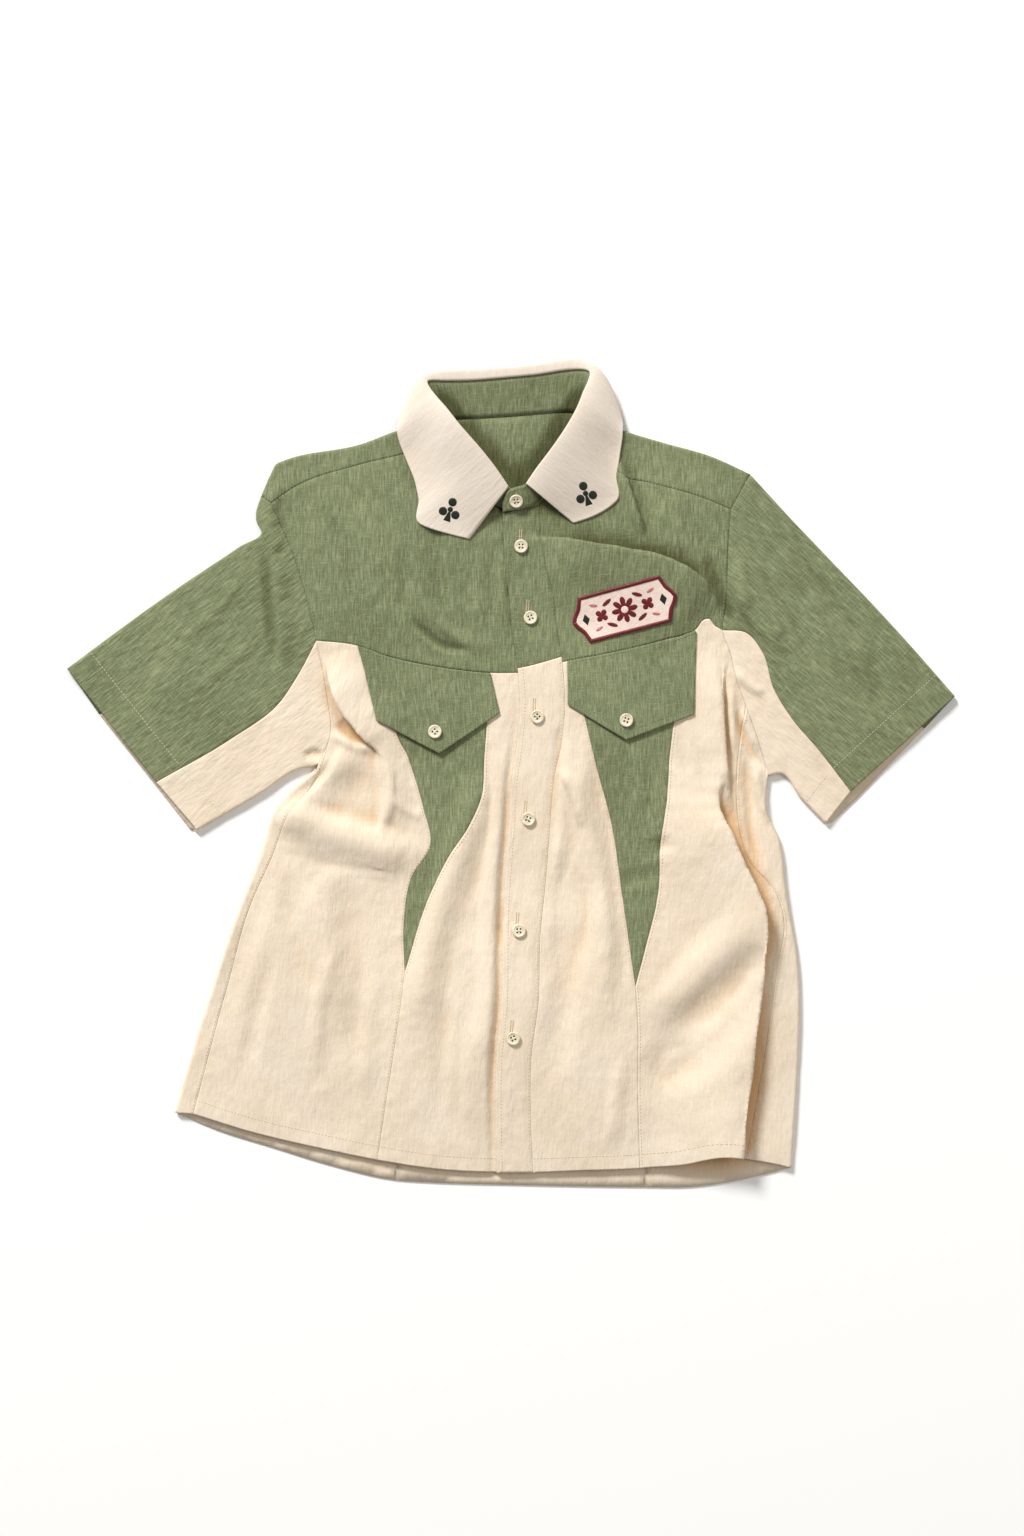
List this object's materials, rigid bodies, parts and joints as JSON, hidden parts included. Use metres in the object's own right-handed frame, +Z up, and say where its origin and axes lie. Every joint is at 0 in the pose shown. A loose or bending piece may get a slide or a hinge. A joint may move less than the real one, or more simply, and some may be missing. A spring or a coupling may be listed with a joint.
{
  "type": "bowling shirt",
  "caption": "Short-sleeved button-up bowling shirt in two colours with a fold-down collar, pointed pocket flaps and tapered front inserts, laid flat.",
  "frame": {"origin": "on the ground under the middle of the outline, where the flat back rests", "axes": "+X to the wearer's left across the sleeves, +Y from the hem to the collar, +Z up out of the front"},
  "size_m": [0.7717, 0.7187, 0.0271],
  "materials": {
    "green_cotton": "crinkled plain-weave cotton in sage green melange",
    "cream_cotton": "crinkled plain-weave cotton in cream",
    "ivory_twill": "smooth fused ivory cotton",
    "badge_felt": "embroidered twill patch with a merrowed edge",
    "button_resin": "cream polyester resin"
  },
  "bodies": {
    "root": {"front_yoke_left": "green_cotton", "front_yoke_right": "green_cotton", "front_insert_left": "green_cotton", "front_insert_right": "green_cotton", "placket_upper": "green_cotton", "flap_left": "green_cotton", "flap_right": "green_cotton", "back_yoke": "green_cotton", "sleeve_upper_left": "green_cotton", "sleeve_upper_right": "green_cotton", "collar_stand": "green_cotton", "front_centre_left": "cream_cotton", "front_centre_right": "cream_cotton", "front_side_left": "cream_cotton", "front_side_right": "cream_cotton", "button_band": "cream_cotton", "placket_lower": "cream_cotton", "back_centre": "cream_cotton", "back_side_left": "cream_cotton", "back_side_right": "cream_cotton", "sleeve_under_left": "cream_cotton", "sleeve_under_right": "cream_cotton", "collar_fall": "ivory_twill", "chest_badge": "badge_felt", "stand_button": "button_resin", "placket_button_1": "button_resin", "placket_button_2": "button_resin", "placket_button_3": "button_resin", "placket_button_4": "button_resin", "placket_button_5": "button_resin", "placket_button_6": "button_resin", "flap_button_left": "button_resin", "flap_button_right": "button_resin"}
  },
  "joints": []
}
